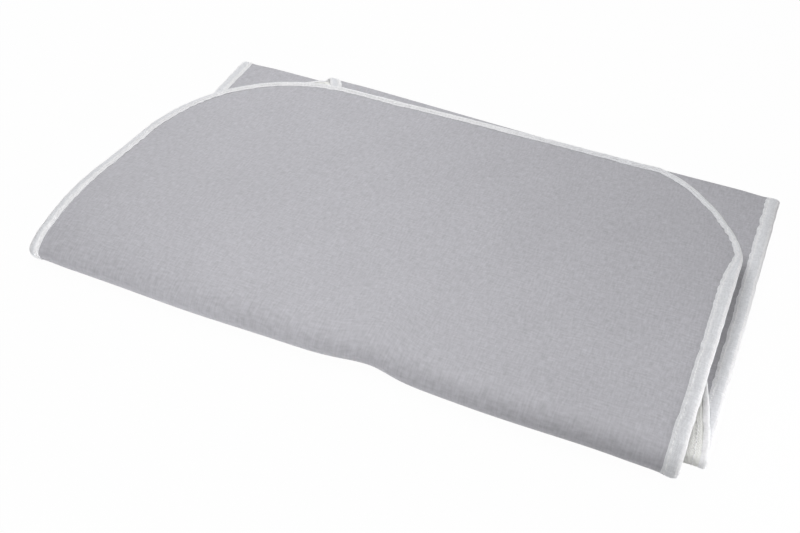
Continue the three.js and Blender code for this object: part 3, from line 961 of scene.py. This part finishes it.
# Tints are names in the finish settings. Sizes are the width of yarns, the size of patches and the
# spacing of threads, tones the changes by yarns and by patches, relief its strength and height.
MATERIALS = {
    "Metallised cotton": dict(
        tint="silver", sizes=(1.3 * MM, 38 * MM, 0.42 * MM), tones=(0.17, 0.02),
        rough=(0.46, 0.58), relief=(0.35, 0.12 * MM),
        shader={"Metallic": 0.08, "Specular IOR Level": 0.3},
    ),
    "Needled felt": dict(
        tint="felt", sizes=(0.9 * MM, 14 * MM, 1.1 * MM), tones=(0.03, 0.025),
        rough=(0.9, 1.0), relief=(0.5, 0.3 * MM),
        shader={"Sheen Weight": 0.25, "Specular IOR Level": 0.2},
    ),
    # The tape's hem tint is its doubled hem and felt side, with painted shade and painted light
    # along the edge
    "Woven tape": dict(
        tint="tape", second_tint="hem", sizes=(1.1 * MM, 20 * MM, 0.6 * MM), tones=(0.12, 0.03),
        rough=(0.72, 0.86), relief=(0.5, 0.18 * MM),
        shader={"Specular IOR Level": 0.3},
    ),
    "Sewing thread": dict(
        tint="thread", sizes=(0.5 * MM, 40 * MM, 0.4 * MM), tones=(0.05, 0.04),
        rough=(0.5, 0.65), relief=(0.4, 0.08 * MM),
        shader={"Specular IOR Level": 0.4},
    ),
}


def cloth_material(name):
    """A woven or felted material: tint varied by yarns and patches, with weave and yarns in relief.

    If it has a second tint, its own UV map tells where that shows: for the tape, its doubled hem
    and felt side, with painted shade on the right and painted light at the heel."""
    if name in bpy.data.materials:
        return bpy.data.materials[name]
    look, finish = MATERIALS[name], bpy.context.scene.cover_finish
    material = bpy.data.materials.new(name)
    material.use_nodes = True
    tree = material.node_tree
    shader = tree.nodes["Principled BSDF"]
    place = add_node(tree, "ShaderNodeUVMap", uv_map=PATTERN_MAP).outputs["UV"]
    yarn, patch, thread = look["sizes"]
    groups = bpy.data.node_groups
    inputs = {"Place": place, "Yarn width": yarn, "Patch size": patch}
    shared = groups.get("Yarn grain") or yarn_grain()
    grain = add_node(tree, "ShaderNodeGroup", inputs, node_tree=shared).outputs
    inputs = {"Place": place, "Thread spacing": thread}
    shared = groups.get("Plain weave") or plain_weave()
    weave = add_node(tree, "ShaderNodeGroup", inputs, node_tree=shared).outputs
    tone = [
        shaded(tree, grain[label], 1 - change, 1 + change)
        for label, change in zip(("Yarns", "Patches"), look["tones"])
    ]
    tint = getattr(finish, look["tint"])
    # Second tint where its map says: for the tape, doubled hem and felt side, with painted shade
    # and painted light
    if "second_tint" in look:
        layers = add_node(tree, "ShaderNodeUVMap", uv_map=HEM_AND_LIGHT_MAP).outputs["UV"]
        split = add_node(tree, "ShaderNodeSeparateXYZ", {0: layers}).outputs
        change = [b - a for a, b in zip(tint, getattr(finish, look["second_tint"]))]
        lighter = vector(tree, "SCALE", {0: change, "Scale": split["X"]})
        tint = vector(tree, "ADD", {0: tint, 1: lighter})
    tinted = vector(tree, "SCALE", {0: tint, "Scale": number(tree, "MULTIPLY", *tone)})
    strength, height = look["relief"]
    relief = number(tree, "ADD", grain["Yarns"], weave["Height"])
    inputs = {"Strength": strength, "Distance": height, "Height": relief}
    raised = add_node(tree, "ShaderNodeBump", inputs)
    tree.links.new(tinted, shader.inputs["Base Color"])
    tree.links.new(shaded(tree, grain["Yarns"], *look["rough"]), shader.inputs["Roughness"])
    tree.links.new(raised.outputs["Normal"], shader.inputs["Normal"])
    for label, value in look["shader"].items():
        shader.inputs[label].default_value = value
    return material


class COVER_OT_stage(bpy.types.Operator):
    """Set the pale floor, the soft light and the camera."""

    bl_idname = "cover.stage"
    bl_label = "Stage"

    FLOOR, FLOOR_DROP = 4.0, 0.2 * MM
    FLOOR_TINT, FLOOR_GLOW = (0.8, 0.8, 0.8, 1.0), 0.98
    WHITE = (1.0, 1.0, 1.0, 1.0)
    MIDDLE, LEFT = (0.0, 0.0, 0.01), (-0.6, 0.0, 0.01)
    # Name, place, size and aim of each lamp; the settings have its power under the same key
    LAMPS = {
        "top": ("Top softbox", (-0.11, 0.09, 0.78), (0.65, 1.0), MIDDLE),
        "left": ("Left softbox", (-0.8, 0.8, 0.7), (0.8, 0.8), MIDDLE),
        "front": ("Front strip light", (-0.05, -0.62, 0.045), (0.3, 0.06), LEFT),
        "right": ("Right strip light", (0.42, -0.11, 0.06), (0.12, 0.06), MIDDLE),
    }
    GLARE_HEIGHT = 0.3  # lamps below it give no glare
    SENSOR, NEAREST = 36.0, 0.01

    def execute(self, context):
        studio = context.scene.cover_studio
        self.add_floor(context)
        self.light_world(context, studio)
        for key, lamp in self.LAMPS.items():
            self.add_lamp(context, getattr(studio, key), *lamp)
        self.add_camera(context, studio)
        context.scene.view_settings.view_transform = "Standard"
        return {"FINISHED"}

    def add_floor(self, context):
        half = self.FLOOR / 2
        mesh = bpy.data.meshes.new("floor")
        corners = [(-half, -half), (half, -half), (half, half), (-half, half)]
        mesh.from_pydata([(x, y, -self.FLOOR_DROP) for x, y in corners], [], [(0, 1, 2, 3)])
        floor = bpy.data.objects.new("floor", mesh)
        context.scene.collection.objects.link(floor)
        mesh.materials.append(self.floor_paint())

    def floor_paint(self):
        """Matt white that looks plain white, with the shadow on it."""
        paint = bpy.data.materials.new("White floor")
        paint.use_nodes = True
        tree = paint.node_tree
        tree.nodes.clear()
        matt = add_node(tree, "ShaderNodeBsdfDiffuse", {"Color": self.FLOOR_TINT})
        glow = add_node(tree, "ShaderNodeEmission")
        portion = number(tree, "MULTIPLY", self.seen_rays(tree), self.FLOOR_GLOW)
        self.mix(tree, portion, matt, glow, "ShaderNodeOutputMaterial")
        return paint

    def seen_rays(self, tree):
        """1 for rays that show the background: to the camera, or by way of gloss or glass."""
        rays = add_node(tree, "ShaderNodeLightPath").outputs
        either = number(tree, "MAXIMUM", rays["Is Camera Ray"], rays["Is Glossy Ray"])
        return number(tree, "MAXIMUM", either, rays["Is Transmission Ray"])

    def mix(self, tree, portion, first, second, output):
        """The first shader with a portion of the second, led to the output."""
        inputs = {0: portion, 1: first.outputs[0], 2: second.outputs[0]}
        mixed = add_node(tree, "ShaderNodeMixShader", inputs)
        add_node(tree, output, {"Surface": mixed.outputs[0]})

    def light_world(self, context, studio):
        world = bpy.data.worlds.new("Studio")
        context.scene.world = world
        world.use_nodes = True
        tree = world.node_tree
        tree.nodes.clear()
        inputs = {"Color": self.WHITE, "Strength": studio.ambient}
        around = add_node(tree, "ShaderNodeBackground", inputs)
        white = add_node(tree, "ShaderNodeBackground", {"Color": self.WHITE})
        self.mix(tree, self.seen_rays(tree), around, white, "ShaderNodeOutputWorld")

    def add_lamp(self, context, power, name, place, size, aim):
        light = bpy.data.lights.new(name, "AREA")
        light.shape = "RECTANGLE"
        light.size, light.size_y = size
        light.energy = power
        lamp = bpy.data.objects.new(name, light)
        lamp.location = place
        lamp.rotation_euler = (Vector(aim) - Vector(place)).to_track_quat("-Z", "Y").to_euler()
        lamp.visible_glossy = place[2] > self.GLARE_HEIGHT
        context.scene.collection.objects.link(lamp)

    def add_camera(self, context, studio):
        lens = bpy.data.cameras.new("Camera")
        lens.lens = studio.lens
        lens.sensor_width = self.SENSOR
        lens.clip_start = self.NEAREST
        camera = bpy.data.objects.new("Camera", lens)
        camera.location = studio.place
        camera.rotation_euler = Euler((math.pi / 2 - studio.pitch, 0.0, studio.yaw))
        context.scene.collection.objects.link(camera)
        context.scene.camera = camera


class COVER_PT_panel(bpy.types.Panel):
    """Sizes, colours and steps of the folded cover."""

    bl_idname = "COVER_PT_panel"
    bl_label = "Ironing board cover"
    bl_space_type = "VIEW_3D"
    bl_region_type = "UI"
    bl_category = "Cover"

    def draw(self, context):
        layout = self.layout
        for group_name in GROUPS:
            group, box = getattr(context.scene, group_name), layout.box()
            for name in group.bl_rna.properties.keys():
                if name not in ("rna_type", "name"):
                    box.prop(group, name)
        for operator in OPERATORS:
            layout.operator(operator.bl_idname)


GROUPS = {"cover_sizes": CoverSizes, "cover_finish": CoverFinish, "cover_studio": StudioSettings}
OPERATORS = (
    COVER_OT_face_cloth,
    COVER_OT_felt_underlay,
    COVER_OT_binding_tape,
    COVER_OT_stitching,
    COVER_OT_stage,
)


def register():
    for group in GROUPS.values():
        bpy.utils.register_class(group)
    for name, group in GROUPS.items():
        setattr(bpy.types.Scene, name, bpy.props.PointerProperty(type=group))
    for kind in (*OPERATORS, COVER_PT_panel):
        bpy.utils.register_class(kind)


def unregister():
    for kind in (COVER_PT_panel, *reversed(OPERATORS)):
        bpy.utils.unregister_class(kind)
    for name in GROUPS:
        delattr(bpy.types.Scene, name)
    for group in reversed(GROUPS.values()):
        bpy.utils.unregister_class(group)


def main():
    register()
    bpy.ops.cover.face_cloth()
    bpy.ops.cover.felt_underlay()
    bpy.ops.cover.binding_tape()
    bpy.ops.cover.stitching()
    bpy.ops.cover.stage()


if __name__ == "__main__":
    main()
